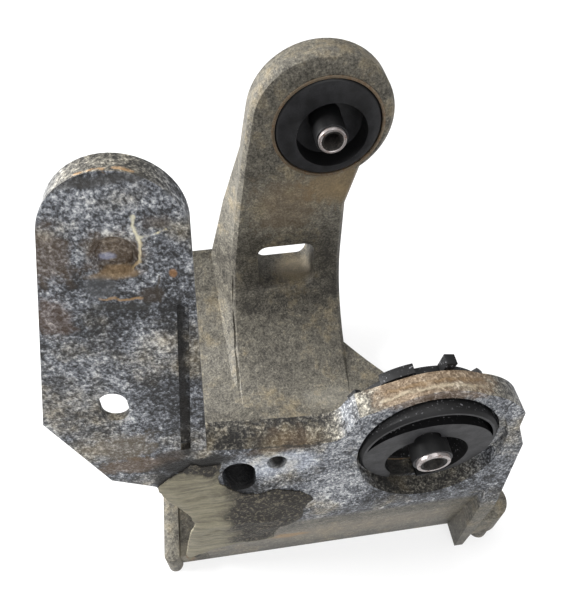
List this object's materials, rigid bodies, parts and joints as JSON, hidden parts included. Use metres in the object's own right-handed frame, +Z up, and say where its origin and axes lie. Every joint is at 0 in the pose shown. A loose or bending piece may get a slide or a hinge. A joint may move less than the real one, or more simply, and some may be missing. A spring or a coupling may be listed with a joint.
{
  "type": "compressor mounting bracket",
  "caption": "Cast aluminium bracket with a front wall, a raised rear arm and an ear, carrying rubber-mounted steel sleeves for bolting a compressor.",
  "frame": {"origin": "axis of the front bush, level with the front face of its rubber", "axes": "+Y along the bush axes from the front wall to the rear arm, +Z up from the base, +X to the right along the front wall"},
  "size_m": [0.1981, 0.1866, 0.2391],
  "materials": {
    "cast_aluminium": "rough sand-cast skin, weathered and dirty",
    "bush_steel": "dull drawn steel",
    "bush_rubber": "satin moulded rubber",
    "sleeve_steel": "turned steel, lightly tarnished"
  },
  "bodies": {
    "root": {"bracket_casting": "cast_aluminium", "front_bush_shell": "bush_steel", "front_bush_rubber": "bush_rubber", "front_bush_sleeve": "sleeve_steel", "rear_bush_shell": "bush_steel", "rear_bush_rubber": "bush_rubber", "rear_bush_sleeve": "sleeve_steel"}
  },
  "joints": []
}
